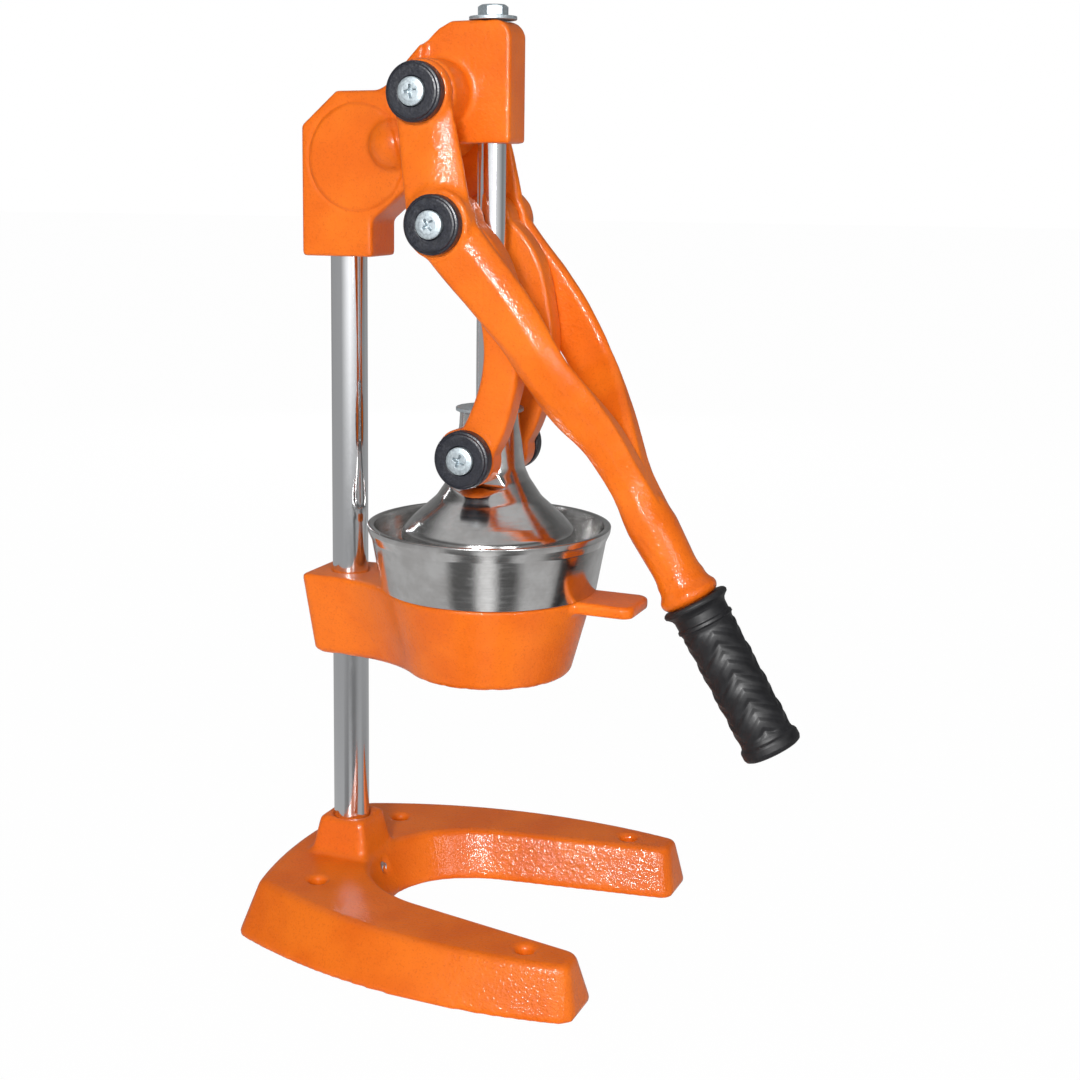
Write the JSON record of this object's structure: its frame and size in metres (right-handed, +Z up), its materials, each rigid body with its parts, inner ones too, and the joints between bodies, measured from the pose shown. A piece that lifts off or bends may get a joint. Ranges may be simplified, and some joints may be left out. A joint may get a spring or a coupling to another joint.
{
  "type": "lever citrus press",
  "caption": "Standing lever press for citrus halves: horseshoe base, column, cup with strainer, and a bell driven down by a forked lever and links.",
  "frame": {"origin": "centre of the column's axis on the plane the base stands on", "axes": "+Z up along the column, +X towards the plunger and the handle, left side at -Y"},
  "size_m": [0.2804, 0.2048, 0.4702],
  "materials": {
    "orange_enamel": "glossy",
    "chromed_bar": "polished",
    "polished_aluminium": "polished",
    "zinc_steel": "zinc plated",
    "black_nylon": "satin",
    "black_rubber": "matt, ribbed"
  },
  "bodies": {
    "frame": {"base_casting": "orange_enamel", "base_set_screw": "zinc_steel", "column": "chromed_bar", "cup_holder": "orange_enamel", "holder_set_screw": "zinc_steel", "juice_cup": "polished_aluminium", "strainer_cone": "polished_aluminium", "head_casting": "orange_enamel", "head_set_screw": "zinc_steel", "head_pivot_cap_left": "black_nylon", "head_pivot_cap_right": "black_nylon", "head_pivot_screw_left": "zinc_steel", "head_pivot_screw_right": "zinc_steel"},
    "lever": {"lever_fork": "orange_enamel", "grip_sleeve": "black_rubber", "link_pivot_cap_left": "black_nylon", "link_pivot_cap_right": "black_nylon", "link_pivot_screw_left": "zinc_steel", "link_pivot_screw_right": "zinc_steel"},
    "plunger": {"plunger_rod": "chromed_bar", "press_bell": "polished_aluminium", "neck_disc": "zinc_steel", "rod_top_washer": "zinc_steel", "rod_top_bolt": "zinc_steel", "plunger_pivot_cap_left": "black_nylon", "plunger_pivot_cap_right": "black_nylon", "plunger_pivot_screw_left": "zinc_steel", "plunger_pivot_screw_right": "zinc_steel"},
    "links": {"link_left": "orange_enamel", "link_right": "orange_enamel"}
  },
  "joints": [
    {"name": "lever_swing", "type": "hinge", "parent": "frame", "child": "lever", "pos_m": [0.057, 0, 0.4275], "axis": [0, -1, 0], "range_deg": [0, 100]},
    {"name": "plunger_lift", "type": "slide", "parent": "frame", "child": "plunger", "axis": [0, 0, 1], "range_m": [0, 0.0907]},
    {"name": "link_tilt", "type": "hinge", "parent": "plunger", "child": "links", "pos_m": [0.08, 0, 0.2505], "axis": [0, -1, 0], "range_deg": [-24.1, 0]}
  ],
  "couplings": [
    {"joint": "plunger_lift", "follows": "lever_swing", "m_per_rad": 0.051893},
    {"joint": "link_tilt", "follows": "lever_swing", "ratio": -0.2397}
  ]
}
